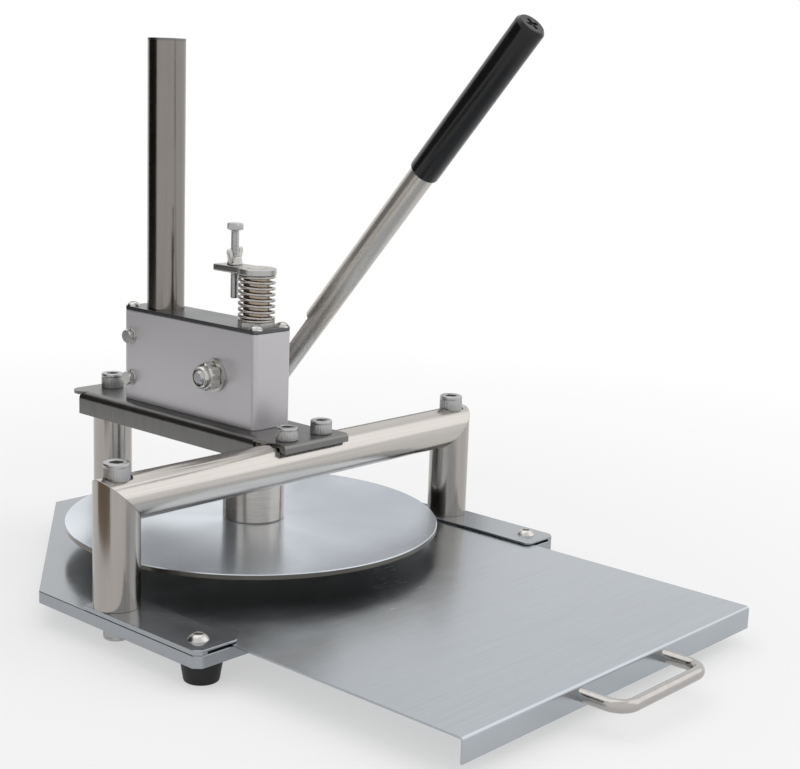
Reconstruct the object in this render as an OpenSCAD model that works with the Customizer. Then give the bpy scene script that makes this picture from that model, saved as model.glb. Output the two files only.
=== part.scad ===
// Hand lever dough press: round press plate, rack and pinion lever drive, sliding tray.
// Millimetres. Z is up, the tray pulls out towards -Y, the origin is on the table under the press axis.

/* [Base] */
// height of the rubber feet
foot_h = 15.5; // [14:0.5:22]
// thickness of the base plate
base_t = 8.5; // [7:0.5:12]
// how far the base reaches in front of the press axis
base_front = 150.5; // [146:0.5:165]
// edge break on the front corners of base and rails
corner_cut = 4.2; // [3:0.2:8]
// top diameter of a rubber foot
foot_d = 28; // [22:1:30]

/* [Frame] */
// diameter of the posts and the crossbar
bar_d = 31.4; // [28:0.2:33]
// clear gap between the press plate rim and a front post
post_gap = 11.7; // [8:0.1:14]
// distance of the front posts in front of the press axis
gantry_y = 51.2; // [48:0.2:56]
// distance of the rear post behind the press axis
rear_y = 173.2; // [172:0.2:195]
// thickness of the bent bridge plate
bridge_t = 2.5; // [2:0.5:3]
// width of the bridge plate
bridge_w = 64; // [60:1:68]
// depth of the bent sides of the bridge
bridge_h = 18; // [14:1:20]

/* [Press] */
// diameter of the press plate
plate_d = 280; // [240:2:300]
// thickness of the press plate
plate_t = 4; // [4:0.5:7]
// opening between tray and raised press plate
opening = 15.7; // [15.3:0.1:22]
// stroke of the press
stroke = 14.7; // [12:0.1:14.7]
// diameter of the press shaft
shaft_d = 20; // [19.8:0.1:20.4]
// diameter of the collar on the press plate
collar_d = 46.5; // [40:0.5:50]
// height of the collar
collar_h = 40; // [30:1:42]

/* [Housing] */
// width of the gear housing
house_w = 37; // [36.5:0.5:40]
// front of the housing ahead of the press axis
house_front = 19; // [19:0.5:24]
// rear of the housing behind the press axis
house_rear = 134; // [130:1:140]
// height of the gear housing
house_h = 71.6; // [70:0.2:76]
// side wall of the housing
house_wall = 3.5; // [3:0.25:4]
// thickness of the lid
lid_t = 3; // [2.5:0.5:4]
// diameter of the hand post
hand_d = 29; // [26:0.5:29]
// height of the hand post over the lid
hand_h = 205; // [160:1:230]

/* [Lever] */
// angle of the raised lever over the horizontal
lever_a = 48.9; // [42:0.1:56]
// diameter of the lever bar
lever_d = 18.7; // [16:0.1:20]
// distance of the lever bar from the middle plane
lever_x = 52.2; // [50:0.2:56]
// where the grip starts, from the pivot
grip_from = 209.5; // [190:0.5:230]
// length of the grip
grip_l = 135.5; // [110:0.5:140]
// diameter of the grip
grip_d = 22.1; // [21.9:0.1:25]

/* [Stop and spring] */
// wire of the return spring
wire_d = 2; // [1.8:0.1:2]
// turns of the return spring
spring_turns = 8; // [7:0.5:8]
// free room of the spring between its seats
spring_h = 34.4; // [34.4:0.2:40]
// thickness of the stop bracket
bracket_t = 5; // [4:0.5:6]
// diameter of the stop bolt
stop_d = 6; // [5:0.5:6]

/* [Tray] */
// thickness of the tray sheet
tray_t = 1.5; // [1:0.25:2]
// length of the tray
tray_l = 290; // [270:2:300]
// depth of the bent front edge
flange_h = 16; // [13.5:0.5:18]
// how far the tray is pulled out
tray_out = 185.7; // [60:0.1:188]
// thickness of the rails over the tray
rail_t = 1.7; // [1.5:0.1:2.5]
// wire of the tray handle
handle_d = 8.5; // [6:0.5:9]
// spacing of the handle legs
handle_w = 91; // [70:1:110]
// reach of the handle
handle_l = 31; // [28:1:44]

/* [Hidden] */
$fn = 64;
BIG = 400;
run = 0.04;
base_z = foot_h + base_t;
tray_z = base_z + tray_t;
plate_z = tray_z + opening;
plate_top = plate_z + plate_t;
post_x = plate_d/2 + post_gap + bar_d/2;
base_x = post_x + bar_d/2 - 0.5;
base_rear = rear_y + bar_d/2 - 0.9;
tail_x = 46.7;
side_y = 15;
rail_gap = tray_t + 0.4;
rail_z = base_z + rail_gap + rail_t;
tray_x = plate_d/2 + post_gap + 2.9;
rail_in = tray_x + 0.6;
lip_x = tray_x - 6.6;
rail_edge = 8.5;
rail_rear = -gantry_y + bar_d/2;
lip_rear = -gantry_y - bar_d/2 - 2;
screw_x = base_x - 15.3;
screw_y = -base_front + 17.1;
foot_pts = [[-base_x + 18, -base_front + 17], [base_x - 18, -base_front + 17],
            [-33, rear_y - 2], [33, rear_y - 2]];
base_pts = [[-post_x, -gantry_y], [post_x, -gantry_y], [0, rear_y]];
bar_z = plate_top + collar_h + 14.7;
bar_flat = 1;
bridge_z = bar_z + bar_d/2 - bar_flat;
corner_z = bar_z + bar_d/2 - 2.2;
bridge_r = 6;
house_z = bridge_z + bridge_t;
floor_t = 6;
lid_z = house_z + house_h;
lid_top = lid_z + lid_t;
house_in = house_w/2 - house_wall;
hand_y = house_rear - 29;
block_y0 = hand_y + hand_d/2 + 0.5;
bolt_y = house_rear - 9.2;
bolt_zs = [house_z + 0.255*house_h, house_z + 0.72*house_h];
lid_in = 5.5;
module_m = 2;
pitch_r = 8*module_m;
rack_p = PI*module_m;
add_h = 0.8*module_m;
ded_h = 1.25*module_m;
backlash = 0.3;
rack_y = 8.2;
flat_r = pitch_r + 0.5;
pivot_y = rack_y + pitch_r;
pivot_z = lid_top - 39;
pinion_n = round(2*pitch_r/module_m);
pinion_w = 20;
pivot_d = 16;
pivot_bush_d = 20;
bush_d = shaft_d + 3;
lower_bush_top = house_z + floor_t + 1;
hex_h = 3.5;
seat_z = lid_top + hex_h;
spring_top = seat_z + spring_h;
bracket_top = spring_top + bracket_t;
spring_d = shaft_d + wire_d + 4;
stop_y = spring_d/2 + wire_d/2 + stop_d/2 + 7.6;
stop_end = lid_top + stroke + 3;
stop_l = 51.7;
hub_x0 = house_w/2 + 0.6;
hub_d = 22;
hub_x1 = lever_x - 4;
shaft_x1 = lever_x - lever_d/2 - 1;
pin_x = hub_x0 + 5;
lever_seat = lever_x + 1.3;
lever_end = grip_from + grip_l;
flat_l = 54;
flat_cut = 3.2;
flat_turn = 31;
tray_y = -base_front - tray_out - 2;
handle_z = tray_z - 6.6;

// A round bar or bore along X from x0 to x1
module along_x(d, x0, x1) {
  translate([x0, 0, 0]) rotate([0, 90, 0]) cylinder(d = d, h = x1 - x0);
}

// A hexagon prism along Z over its flats
module hex(af, h) {
  cylinder(d = af/cos(30), h = h, $fn = 6);
}

// A socket head cap screw pointing down, seat of the head at z 0
module cap_screw(d, head_d, head_h, l) {
  difference() {
    union() {
      cylinder(d = head_d, h = head_h - 0.6);
      translate([0, 0, head_h - 0.6]) cylinder(d1 = head_d, d2 = head_d - 1.2, h = 0.6);
      translate([0, 0, -l]) cylinder(d = d, h = l + 1);
    }
    translate([0, 0, head_h*0.45]) hex(head_d*0.5, head_h);
  }
}

// A low round head screw pointing down, seat of the head at z 0
module dome_screw(d, head_d, head_h, l) {
  ball = (head_d*head_d/4 + head_h*head_h)/(2*head_h);
  difference() {
    union() {
      intersection() {
        translate([0, 0, head_h - ball]) sphere(r = ball);
        cylinder(d = head_d, h = head_h + 1);
      }
      translate([0, 0, -l]) cylinder(d = d, h = l + 0.5);
    }
    translate([0, 0, head_h*0.45]) hex(head_d*0.36, head_h);
  }
}

// Base and what stands on it
module base_outline() {
  c = corner_cut;
  polygon([[-base_x + c, -base_front], [base_x - c, -base_front], [base_x, -base_front + c],
    [base_x, side_y], [tail_x, base_rear], [-tail_x, base_rear], [-base_x, side_y],
    [-base_x, -base_front + c]]);
}

module base_plate() {
  color("LightSlateGray") difference() {
    translate([0, 0, foot_h]) linear_extrude(base_t) base_outline();
    for (p = base_pts) translate([p[0], p[1], foot_h - 1]) cylinder(d = 10.4, h = base_t + 2);
    for (p = foot_pts) translate([p[0], p[1], foot_h - 1]) cylinder(d = 6, h = 4.5);
    for (s = [-1, 1]) translate([s*screw_x, screw_y, foot_h + 4.5]) cylinder(d = 6, h = base_t);
  }
}

module rubber_feet() {
  color("Black") for (p = foot_pts) translate([p[0], p[1], 0]) difference() {
    union() {
      cylinder(d1 = foot_d*0.8, d2 = foot_d*0.83, h = 1.5);
      translate([0, 0, 1.5]) cylinder(d1 = foot_d*0.83, d2 = foot_d, h = foot_h - 1.5);
    }
    translate([0, 0, -1]) cylinder(d = 6.2, h = foot_h + 2);
    translate([0, 0, -1]) cylinder(d = 13, h = foot_h - 5);
  }
}

module foot_screws() {
  color("Silver") for (p = foot_pts) translate([p[0], p[1], foot_h - 6]) mirror([0, 0, 1])
    dome_screw(6, 11, 3.5, 9);
}

// A rail is a flat strip that is cut away below, so that the tray slides under its inner edge
module rail_outline() {
  r = 4;
  intersection() {
    base_outline();
    union() {
      translate([lip_x + r, -base_front]) square([BIG, base_front + rail_rear]);
      translate([lip_x, r - base_front]) square([BIG, base_front + rail_rear - r]);
      translate([lip_x + r, r - base_front]) circle(r = r);
    }
  }
}

module rail(s) {
  mirror([s > 0 ? 0 : 1, 0, 0]) difference() {
    translate([0, 0, base_z]) linear_extrude(rail_gap + rail_t) rail_outline();
    difference() {
      translate([lip_x - 1, -base_front - 1, base_z - 1])
        cube([base_x - rail_edge - lip_x + 1, base_front + lip_rear + 1, rail_gap + 1]);
      translate([screw_x, screw_y, base_z - 2]) cylinder(d = 14, h = rail_gap + 3);
    }
    translate([lip_x - 1, lip_rear - 1, base_z - 1]) cube([rail_in - lip_x + 1, BIG, rail_gap + 1]);
    translate([screw_x, screw_y, base_z - 1]) cylinder(d = 6.6, h = 20);
    translate([post_x, -gantry_y, base_z - 1]) cylinder(d = 10.4, h = 20);
  }
}

module left_rail() {
  color("SlateGray") rail(-1);
}

module right_rail() {
  color("SlateGray") rail(1);
}

module rail_screws() {
  color("Gainsboro") for (s = [-1, 1]) translate([s*screw_x, screw_y, rail_z])
    dome_screw(6, 14.5, 4.6, rail_gap + rail_t + base_t - 5);
}

// Front gantry of mitred bars and the rear post
module post(s) {
  difference() {
    translate([s*post_x, -gantry_y, rail_z]) cylinder(d = bar_d, h = bar_z + bar_d - rail_z);
    translate([s*post_x, -gantry_y, bar_z]) rotate([0, -s*45, 0]) translate([-BIG/2, -BIG/2, 0])
      cube([BIG, BIG, BIG]);
    translate([s*post_x, -gantry_y, rail_z - 1]) cylinder(d = 10, h = 27);
    translate([s*post_x, -gantry_y, bar_z - 32]) cylinder(d = 12, h = 60);
    translate([s*post_x, -gantry_y, corner_z]) cylinder(d = 21, h = 60);
  }
}

module left_post() {
  color("Silver") post(-1);
}

module right_post() {
  color("Silver") post(1);
}

module crossbar() {
  color("Silver") difference() {
    translate([0, -gantry_y, bar_z]) along_x(bar_d, -post_x - bar_d, post_x + bar_d);
    for (s = [-1, 1]) {
      translate([s*post_x, -gantry_y, bar_z]) rotate([0, -s*45, 0])
        translate([-BIG/2, -BIG/2, -BIG]) cube([BIG, BIG, BIG]);
      translate([s*post_x, -gantry_y, bar_z - bar_d]) cylinder(d = 12.6, h = 2*bar_d);
      translate([s*post_x, -gantry_y, corner_z]) cylinder(d = 21, h = 60);
      translate([s*bridge_w*0.27, -gantry_y - 2, bridge_z - 22]) cylinder(d = 10, h = 40);
    }
    translate([-bridge_w/2 - 1, -gantry_y - bar_d, bridge_z]) cube([bridge_w + 2, 2*bar_d, bar_d]);
  }
}

module corner_screws() {
  color("DimGray") for (s = [-1, 1]) translate([s*post_x, -gantry_y, corner_z])
    cap_screw(12, 18, 12, 40);
}

module rear_post() {
  color("Silver") difference() {
    translate([0, rear_y, base_z]) cylinder(d = bar_d, h = bridge_z - base_z);
    translate([0, rear_y, base_z - 1]) cylinder(d = 10, h = 27);
    translate([0, rear_y, bridge_z - 32]) cylinder(d = 12, h = 40);
  }
}

module base_screws() {
  color("Gray") for (p = base_pts) translate([p[0], p[1], foot_h]) mirror([0, 0, 1])
    cap_screw(10, 18, 10, base_t + 22);
}

// Bridge plate with bent sides and front lip
module bent_section(w, h, r) {
  translate([-w/2 + r, 0]) square([w - 2*r, h]);
  translate([-w/2, 0]) square([w, h - r]);
  for (s = [-1, 1]) translate([s*(w/2 - r), h - r]) circle(r = r);
}

module bridge_plate() {
  w = bridge_w;
  t = bridge_t;
  lip_y = -gantry_y - 13;
  side_y0 = rail_rear + 2;
  side_y1 = rear_y + 2;
  tip = rear_y + bar_d/2;
  lip_r = 3;
  tip_r = 10;
  color("DimGray") difference() {
    union() {
      translate([0, side_y1, house_z - bridge_h]) rotate([90, 0, 0]) linear_extrude(side_y1 - side_y0)
        difference() {
          bent_section(w, bridge_h, bridge_r);
          translate([0, -t]) bent_section(w - 2*t, bridge_h, bridge_r - t);
        }
      translate([-w/2, lip_y, bridge_z]) cube([w, side_y0 + 0.5 - lip_y, t]);
      translate([-w/2 + bridge_r, side_y1 - 5, bridge_z]) cube([w - 2*bridge_r, 8, t]);
      translate([-w/2, side_y1 + 1.5, bridge_z]) cube([w, tip - side_y1 - 1.5 - tip_r, t]);
      translate([-w/2 + tip_r, side_y1 + 1.5, bridge_z]) cube([w - 2*tip_r, tip - side_y1 - 1.5, t]);
      for (s = [-1, 1]) translate([s*(w/2 - tip_r), tip - tip_r, bridge_z]) cylinder(r = tip_r, h = t);
      translate([-w/2, lip_y, house_z - lip_r]) rotate([0, 90, 0]) cylinder(r = lip_r, h = w);
      translate([-w/2, lip_y - lip_r, house_z - lip_r - 3.2]) cube([w, 2.2, 3.2]);
    }
    translate([0, 0, bridge_z - 1]) cylinder(d = bush_d + 2, h = t + 2);
    translate([0, hand_y, bridge_z - 1]) cylinder(d = 20, h = t + 2);
    translate([0, rear_y, bridge_z - 1]) cylinder(d = 12.6, h = t + 2);
    for (s = [-1, 1]) {
      translate([s*w*0.27, -gantry_y - 2, bridge_z - 4]) cylinder(d = 10.6, h = 12);
      for (y = [62, house_rear - 10]) translate([s*9, y, bridge_z - 1]) cylinder(d = 6.4, h = t + 2);
    }
  }
}

module bridge_screws() {
  color("DimGray") for (s = [-1, 1]) translate([s*bridge_w*0.27, -gantry_y - 2, house_z])
    cap_screw(10, 16, 10, bridge_t + 20);
}

module rear_screw() {
  color("DimGray") translate([0, rear_y, house_z]) cap_screw(12, 18, 12, bridge_t + 28);
}

// Gear housing
module rounded_bar(w, l, h, r) {
  translate([-w/2 + r, 0, 0]) cube([w - 2*r, l, h]);
  translate([-w/2, r, 0]) cube([w, l - 2*r, h]);
  for (x = [-w/2 + r, w/2 - r], y = [r, l - r]) translate([x, y, 0]) cylinder(r = r, h = h);
}

module housing() {
  l = house_front + house_rear;
  color("DarkGray") difference() {
    translate([0, -house_front, house_z]) rounded_bar(house_w, l, house_h, 4);
    translate([-house_in, -house_front + 4.5, house_z + floor_t])
      cube([2*house_in, l - 8, house_h]);
    translate([0, 0, house_z - 1]) cylinder(d = bush_d, h = floor_t + 2);
    translate([0, hand_y, house_z - 1]) cylinder(d = 12.6, h = floor_t + 2);
    translate([0, pivot_y, pivot_z]) along_x(pivot_bush_d, -house_w, house_w);
    for (z = bolt_zs) translate([0, bolt_y, z]) along_x(6.4, -house_w, house_w);
    for (s = [-1, 1]) {
      translate([s*9, 62, house_z - 1]) cylinder(d = 6, h = floor_t + 2);
      translate([s*9, house_rear - 10, house_z - 1]) cylinder(d = 6, h = floor_t + 2);
      for (y = [-house_front + 5, house_rear - 5])
        translate([s*(house_w/2 - lid_in), y, lid_z - 8]) cylinder(d = 4, h = 9);
    }
  }
  color("DarkGray") for (s = [-1, 1], y = [-house_front + 5, house_rear - 5])
    translate([s*(house_w/2 - lid_in), y, lid_z - 12]) difference() {
      translate([-2.5 - (s > 0 ? 0 : house_wall - 1), -2.5, 0]) cube([5 + house_wall - 1, 5, 12]);
      translate([0, 0, 4]) cylinder(d = 4, h = 9);
    }
}

module housing_screws() {
  color("Gray") for (s = [-1, 1], y = [62, house_rear - 10]) translate([s*9, y, bridge_z])
    mirror([0, 0, 1]) dome_screw(6, 11, 3.5, bridge_t + floor_t - 0.5);
}

module rear_block() {
  color("Gray") difference() {
    translate([-house_in + 0.1, block_y0, house_z + floor_t])
      cube([2*house_in - 0.2, house_rear - 3.6 - block_y0, house_h - floor_t - 13]);
    for (z = bolt_zs) translate([0, bolt_y, z]) along_x(6.4, -house_w, house_w);
  }
}

module cross_bolts() {
  color("Silver") for (z = bolt_zs) translate([-house_w/2, bolt_y, z]) rotate([0, 90, 0]) {
    translate([0, 0, -1.2]) cylinder(d = 12.5, h = 1.2);
    translate([0, 0, -5.4]) hex(10, 4.4);
    translate([0, 0, -1]) cylinder(d = 6, h = house_w + 8);
  }
}

module cross_nuts() {
  color("Silver") for (z = bolt_zs) translate([house_w/2, bolt_y, z]) rotate([0, 90, 0]) difference() {
    union() {
      cylinder(d = 12.5, h = 1.2);
      translate([0, 0, 1]) hex(10, 5);
    }
    translate([0, 0, -1]) cylinder(d = 6.1, h = 12);
  }
}

module housing_lid() {
  l = house_front + house_rear;
  color("SlateGray") difference() {
    translate([0, -house_front, lid_z]) rounded_bar(house_w, l, lid_t, 4);
    translate([0, 0, lid_z - 1]) cylinder(d = bush_d, h = lid_t + 2);
    translate([0, hand_y, lid_z - 1]) cylinder(d = hand_d + 0.1, h = lid_t + 2);
    for (s = [-1, 1], y = [-house_front + 5, house_rear - 5])
      translate([s*(house_w/2 - lid_in), y, lid_z - 1]) cylinder(d = 4.4, h = lid_t + 2);
  }
}

module lid_screws() {
  color("Silver") for (s = [-1, 1], y = [-house_front + 5, house_rear - 5])
    translate([s*(house_w/2 - lid_in), y, lid_top]) dome_screw(4, 11, 4, lid_t + 6);
}

// Hand post
module hand_post() {
  color("Silver") difference() {
    translate([0, hand_y, house_z + floor_t]) cylinder(d = hand_d, h = lid_top + hand_h - house_z - floor_t);
    translate([0, hand_y, house_z]) cylinder(d = hand_d - 4, h = lid_top + hand_h);
  }
}

module hand_post_cap() {
  color("DarkSlateGray") translate([0, hand_y, lid_top + hand_h]) {
    cylinder(d = hand_d, h = 2);
    translate([0, 0, -8]) cylinder(d = hand_d - 4.04, h = 8.5);
  }
}

module hand_post_plug() {
  color("Gray") difference() {
    translate([0, hand_y, house_z + floor_t]) cylinder(d = hand_d - 4.04, h = 30);
    translate([0, hand_y, house_z]) cylinder(d = 12, h = floor_t + 24);
  }
}

module hand_post_screw() {
  color("Gray") translate([0, hand_y, house_z]) mirror([0, 0, 1]) cap_screw(12, 18, 8, floor_t + 20);
}

// Guides of the press shaft
module lower_bush() {
  color("DarkGoldenrod") difference() {
    translate([0, 0, bridge_z]) cylinder(d = bush_d, h = lower_bush_top - bridge_z);
    translate([0, 0, bridge_z - 1]) cylinder(d = shaft_d + 2*run, h = BIG);
  }
}

module upper_guide() {
  color("Gray") difference() {
    union() {
      translate([0, 0, lid_top]) hex(shaft_d + 5, hex_h);
      translate([0, 0, lid_top - 9]) cylinder(d = bush_d, h = 9.5);
    }
    translate([0, 0, lid_top - 20]) cylinder(d = shaft_d + 2*run, h = BIG);
  }
}

// Press shaft with rack, collar and plate
module rack_gap() {
  t = rack_p/4 + backlash/4;
  s = tan(20);
  polygon([[-ded_h, -t + ded_h*s], [-ded_h, t - ded_h*s], [add_h + 8, t + (add_h + 8)*s],
    [add_h + 8, -t - (add_h + 8)*s]]);
}

module press_shaft() {
  color("Silver") difference() {
    union() {
      translate([0, 0, plate_top]) cylinder(d = shaft_d, h = spring_top - plate_top);
      translate([0, 0, spring_top - 1]) cylinder(d = 14, h = bracket_t + 1);
    }
    translate([-BIG/2, rack_y + add_h, pivot_z - flat_r]) cube([BIG, BIG, 2*flat_r + stroke]);
    for (k = [-1:4]) translate([-shaft_d, rack_y, pivot_z + k*rack_p]) rotate([90, 0, 90])
      linear_extrude(2*shaft_d) rack_gap();
    translate([0, 0, plate_top - 1]) cylinder(d = 10, h = 31);
    translate([0, 0, plate_top + collar_h/2]) rotate([-90, 0, 0]) cylinder(d = 6, h = shaft_d);
  }
}

module press_collar() {
  edge = 1;
  color("Silver") translate([0, 0, plate_top]) difference() {
    union() {
      cylinder(d1 = collar_d - 2*edge, d2 = collar_d, h = edge);
      translate([0, 0, edge]) cylinder(d = collar_d, h = collar_h - 2*edge);
      translate([0, 0, collar_h - edge]) cylinder(d1 = collar_d, d2 = collar_d - 2*edge, h = edge);
    }
    translate([0, 0, -1]) cylinder(d = shaft_d + 0.04, h = BIG);
    translate([0, 0, collar_h/2]) rotate([-90, 0, 0]) cylinder(d = 8, h = collar_d);
  }
}

module collar_screw() {
  color("DimGray") translate([0, 0, plate_top + collar_h/2]) rotate([-90, 0, 0]) difference() {
    union() {
      translate([0, 0, shaft_d/2 - 3]) cylinder(d = 5.9, h = 5);
      translate([0, 0, shaft_d/2 + 0.6]) cylinder(d = 7.9, h = collar_d/2 - shaft_d/2 - 2);
    }
    translate([0, 0, collar_d/2 - 5]) hex(4, 8);
  }
}

module press_plate() {
  color("LightSteelBlue") difference() {
    union() {
      translate([0, 0, plate_z]) cylinder(d1 = plate_d - 1, d2 = plate_d, h = 0.5, $fn = 180);
      translate([0, 0, plate_z + 0.5]) cylinder(d = plate_d, h = plate_t - 1, $fn = 180);
      translate([0, 0, plate_top - 0.5]) cylinder(d1 = plate_d, d2 = plate_d - 1, h = 0.5, $fn = 180);
    }
    translate([0, 0, plate_z - 1]) cylinder(d = 10.4, h = plate_t + 2);
    translate([0, 0, plate_z - 0.01]) cylinder(d1 = 18.4, d2 = 10.4, h = 3.6);
  }
}

module plate_screw() {
  color("Silver") difference() {
    union() {
      translate([0, 0, plate_z + 0.2]) cylinder(d1 = 17.4, d2 = 10, h = 3.4);
      translate([0, 0, plate_z + 3]) cylinder(d = 10, h = plate_t + 22);
    }
    translate([0, 0, plate_z - 1]) hex(6, 4);
  }
}

// Stop bracket, return spring and adjustable stop
module stop_bracket() {
  color("SlateGray") difference() {
    union() {
      translate([0, 0, spring_top]) cylinder(d = spring_d + wire_d + 0.8, h = bracket_t);
      translate([-10, 0, spring_top]) cube([20, stop_y + 13.4, bracket_t]);
    }
    translate([0, 0, spring_top - 1]) cylinder(d = 14.04, h = bracket_t + 2);
    translate([0, stop_y, spring_top - 1]) cylinder(d = stop_d + 0.2, h = bracket_t + 2);
  }
}

// The spring is one swept wire: path points, then six-sided rings along it
wire_stub = wire_d;
spring_lo = seat_z + wire_stub + wire_d/2 + 0.05;
spring_hi = spring_top - wire_stub - wire_d/2 - 0.05;
spring_step = 15;
spring_n = round(spring_turns*360/spring_step);
spring_mid = [for (i = [0:spring_n]) let(a = i*spring_step, t = i/spring_n)
  [spring_d/2*cos(a), spring_d/2*sin(a), spring_lo + t*(spring_hi - spring_lo)]];
spring_a1 = spring_n*spring_step;
spring_path = concat(
  [[spring_d/2*cos(-20), spring_d/2*sin(-20), seat_z + 0.02],
   [spring_d/2*cos(-20), spring_d/2*sin(-20), seat_z + wire_stub]],
  spring_mid,
  [[spring_d/2*cos(spring_a1 + 20), spring_d/2*sin(spring_a1 + 20), spring_top - wire_stub],
   [spring_d/2*cos(spring_a1 + 20), spring_d/2*sin(spring_a1 + 20), spring_top - 0.02]]);
spring_far = floor(360/spring_step) - 2;
spring_gap = min([for (i = [0:len(spring_path) - 1]) for (j = [i + spring_far:1:len(spring_path) - 1])
  norm(spring_path[i] - spring_path[j])]) - wire_d;
echo(spring_least_gap_mm = spring_gap);

module return_spring() {
  sides = 6;
  last = len(spring_path) - 1;
  rings = [for (i = [0:last])
    let(p = spring_path[i],
        q0 = spring_path[max(i - 1, 0)],
        q1 = spring_path[min(i + 1, last)],
        t = (i <= 1) ? [0, 0, 1] : (i >= last - 1) ? [0, 0, 1] : (q1 - q0)/norm(q1 - q0),
        out = [p[0], p[1], 0]/norm([p[0], p[1], 0]),
        u = (out - (out*t)*t)/norm(out - (out*t)*t),
        v = cross(t, u))
    [for (k = [0:sides - 1]) p + wire_d/2*(cos(k*360/sides)*u + sin(k*360/sides)*v)]];
  pts = [for (r = rings) for (p = r) p];
  skin = [for (i = [0:last - 1]) for (k = [0:sides - 1]) let(k2 = (k + 1) % sides)
    [i*sides + k, (i + 1)*sides + k, (i + 1)*sides + k2, i*sides + k2]];
  tris = [for (f = skin) each [[f[0], f[1], f[2]], [f[0], f[2], f[3]]]];
  cap0 = [[for (k = [0:sides - 1]) k]];
  cap1 = [[for (k = [sides - 1:-1:0]) last*sides + k]];
  color("Silver") polyhedron(points = pts, faces = concat(tris, cap0, cap1));
}

module stop_bolt() {
  color("Silver") translate([0, stop_y, 0]) {
    translate([0, 0, stop_end]) cylinder(d = stop_d, h = stop_l);
    translate([0, 0, stop_end + stop_l - 0.5]) hex(stop_d + 5, 4.9);
  }
}

module wing_nut() {
  color("Gainsboro") translate([0, stop_y, bracket_top + 0.02]) rotate([0, 0, 23]) difference() {
    union() {
      cylinder(d1 = stop_d + 6, d2 = stop_d + 3.6, h = 6);
      for (s = [-1, 1]) translate([s*(stop_d/2 + 0.6), -1.2, 3.2]) rotate([0, s*24, 0]) {
        translate([s > 0 ? 0 : -5.5, 0, 0]) cube([5.5, 2.4, 8.5]);
        translate([s*2.75, 0, 8.5]) rotate([-90, 0, 0]) cylinder(d = 5.5, h = 2.4);
      }
    }
    translate([0, 0, -1]) cylinder(d = stop_d + 0.12, h = 20);
  }
}

// Pivot shaft, pinion and lever
module pivot_bushes() {
  color("DarkGoldenrod") for (s = [-1, 1]) translate([0, pivot_y, pivot_z]) difference() {
    along_x(pivot_bush_d, s > 0 ? pinion_w/2 + 1 : -house_w/2, s > 0 ? house_w/2 : -pinion_w/2 - 1);
    along_x(pivot_d + 2*run, -house_w, house_w);
  }
}

module pivot_shaft() {
  color("Silver") translate([0, pivot_y, pivot_z]) difference() {
    union() {
      along_x(pivot_d, -house_w/2 - 0.2, shaft_x1);
      along_x(12, -house_w/2 - 17.5, 0);
    }
    along_x(6, shaft_x1 - 13, shaft_x1 + 1);
    translate([-8, -2.5, pivot_d/2 - 3]) cube([16, 5, 6]);
    translate([pin_x, 0, -BIG/2]) cylinder(d = 5, h = BIG);
  }
}

module pinion_shape() {
  rb = pitch_r*cos(20);
  ra = pitch_r + add_h;
  rf = pitch_r - ded_h;
  inv20 = tan(20)*180/PI - 20;
  half = (rack_p/2 - backlash/2)/(2*pitch_r)*180/PI;
  steps = 5;
  flank = [for (i = [0:steps]) let(r = max(rb, rf) + (ra - max(rb, rf))*i/steps, a = acos(min(1, rb/r)))
    [r, half + inv20 - (tan(a)*180/PI - a)]];
  one = concat([[rf, flank[0][1]]], flank);
  n = len(one) - 1;
  polygon([for (k = [0:pinion_n - 1]) let(c = 180 + k*360/pinion_n)
    each concat([for (i = [0:n]) [one[i][0]*cos(c - one[i][1]), one[i][0]*sin(c - one[i][1])]],
                [for (i = [n:-1:0]) [one[i][0]*cos(c + one[i][1]), one[i][0]*sin(c + one[i][1])]])]);
}

module drive_pinion() {
  color("DimGray") translate([0, pivot_y, pivot_z]) difference() {
    translate([-pinion_w/2, 0, 0]) rotate([90, 0, 90]) linear_extrude(pinion_w) pinion_shape();
    along_x(pivot_d + 0.04, -pinion_w, pinion_w);
    translate([-pinion_w, -2.53, 0]) cube([2*pinion_w, 5.06, pivot_d/2 + 2.3]);
  }
}

module pinion_key() {
  color("Silver") translate([-7.9, pivot_y - 2.48, pivot_z + pivot_d/2 - 2.97]) cube([15.8, 4.96, 4.9]);
}

module pivot_washer() {
  color("Silver") translate([0, pivot_y, pivot_z]) difference() {
    along_x(25, -house_w/2 - 2.7, -house_w/2 - 0.2);
    along_x(12.1, -house_w, 0);
  }
}

module pivot_nut() {
  color("Gainsboro") translate([-house_w/2 - 2.7, pivot_y, pivot_z]) rotate([0, -90, 0]) difference() {
    union() {
      hex(19, 9.5);
      cylinder(d = 17, h = 12.5);
      translate([0, 0, 12.5]) cylinder(d1 = 17, d2 = 15, h = 1);
    }
    translate([0, 0, -1]) cylinder(d = 12.04, h = 20);
  }
}

module on_lever() {
  translate([lever_x, pivot_y, pivot_z]) rotate([90 - lever_a, 0, 0]) children();
}

// The hub is saddled to the round bar
module lever_hub() {
  color("Gray") difference() {
    translate([0, pivot_y, pivot_z]) difference() {
      along_x(hub_d, hub_x0, hub_x1);
      along_x(pivot_d + 0.04, hub_x0 - 1, shaft_x1);
      along_x(6.4, hub_x0, hub_x1 + 1);
      translate([pin_x, 0, -BIG/2]) cylinder(d = 5, h = BIG);
    }
    on_lever() translate([0, 0, -40]) cylinder(d = lever_d + 0.1, h = 80);
  }
}

module hub_pin() {
  color("Silver") translate([pin_x, pivot_y, pivot_z - hub_d/2 + 0.2]) cylinder(d = 4.96, h = hub_d - 0.4);
}

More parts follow.
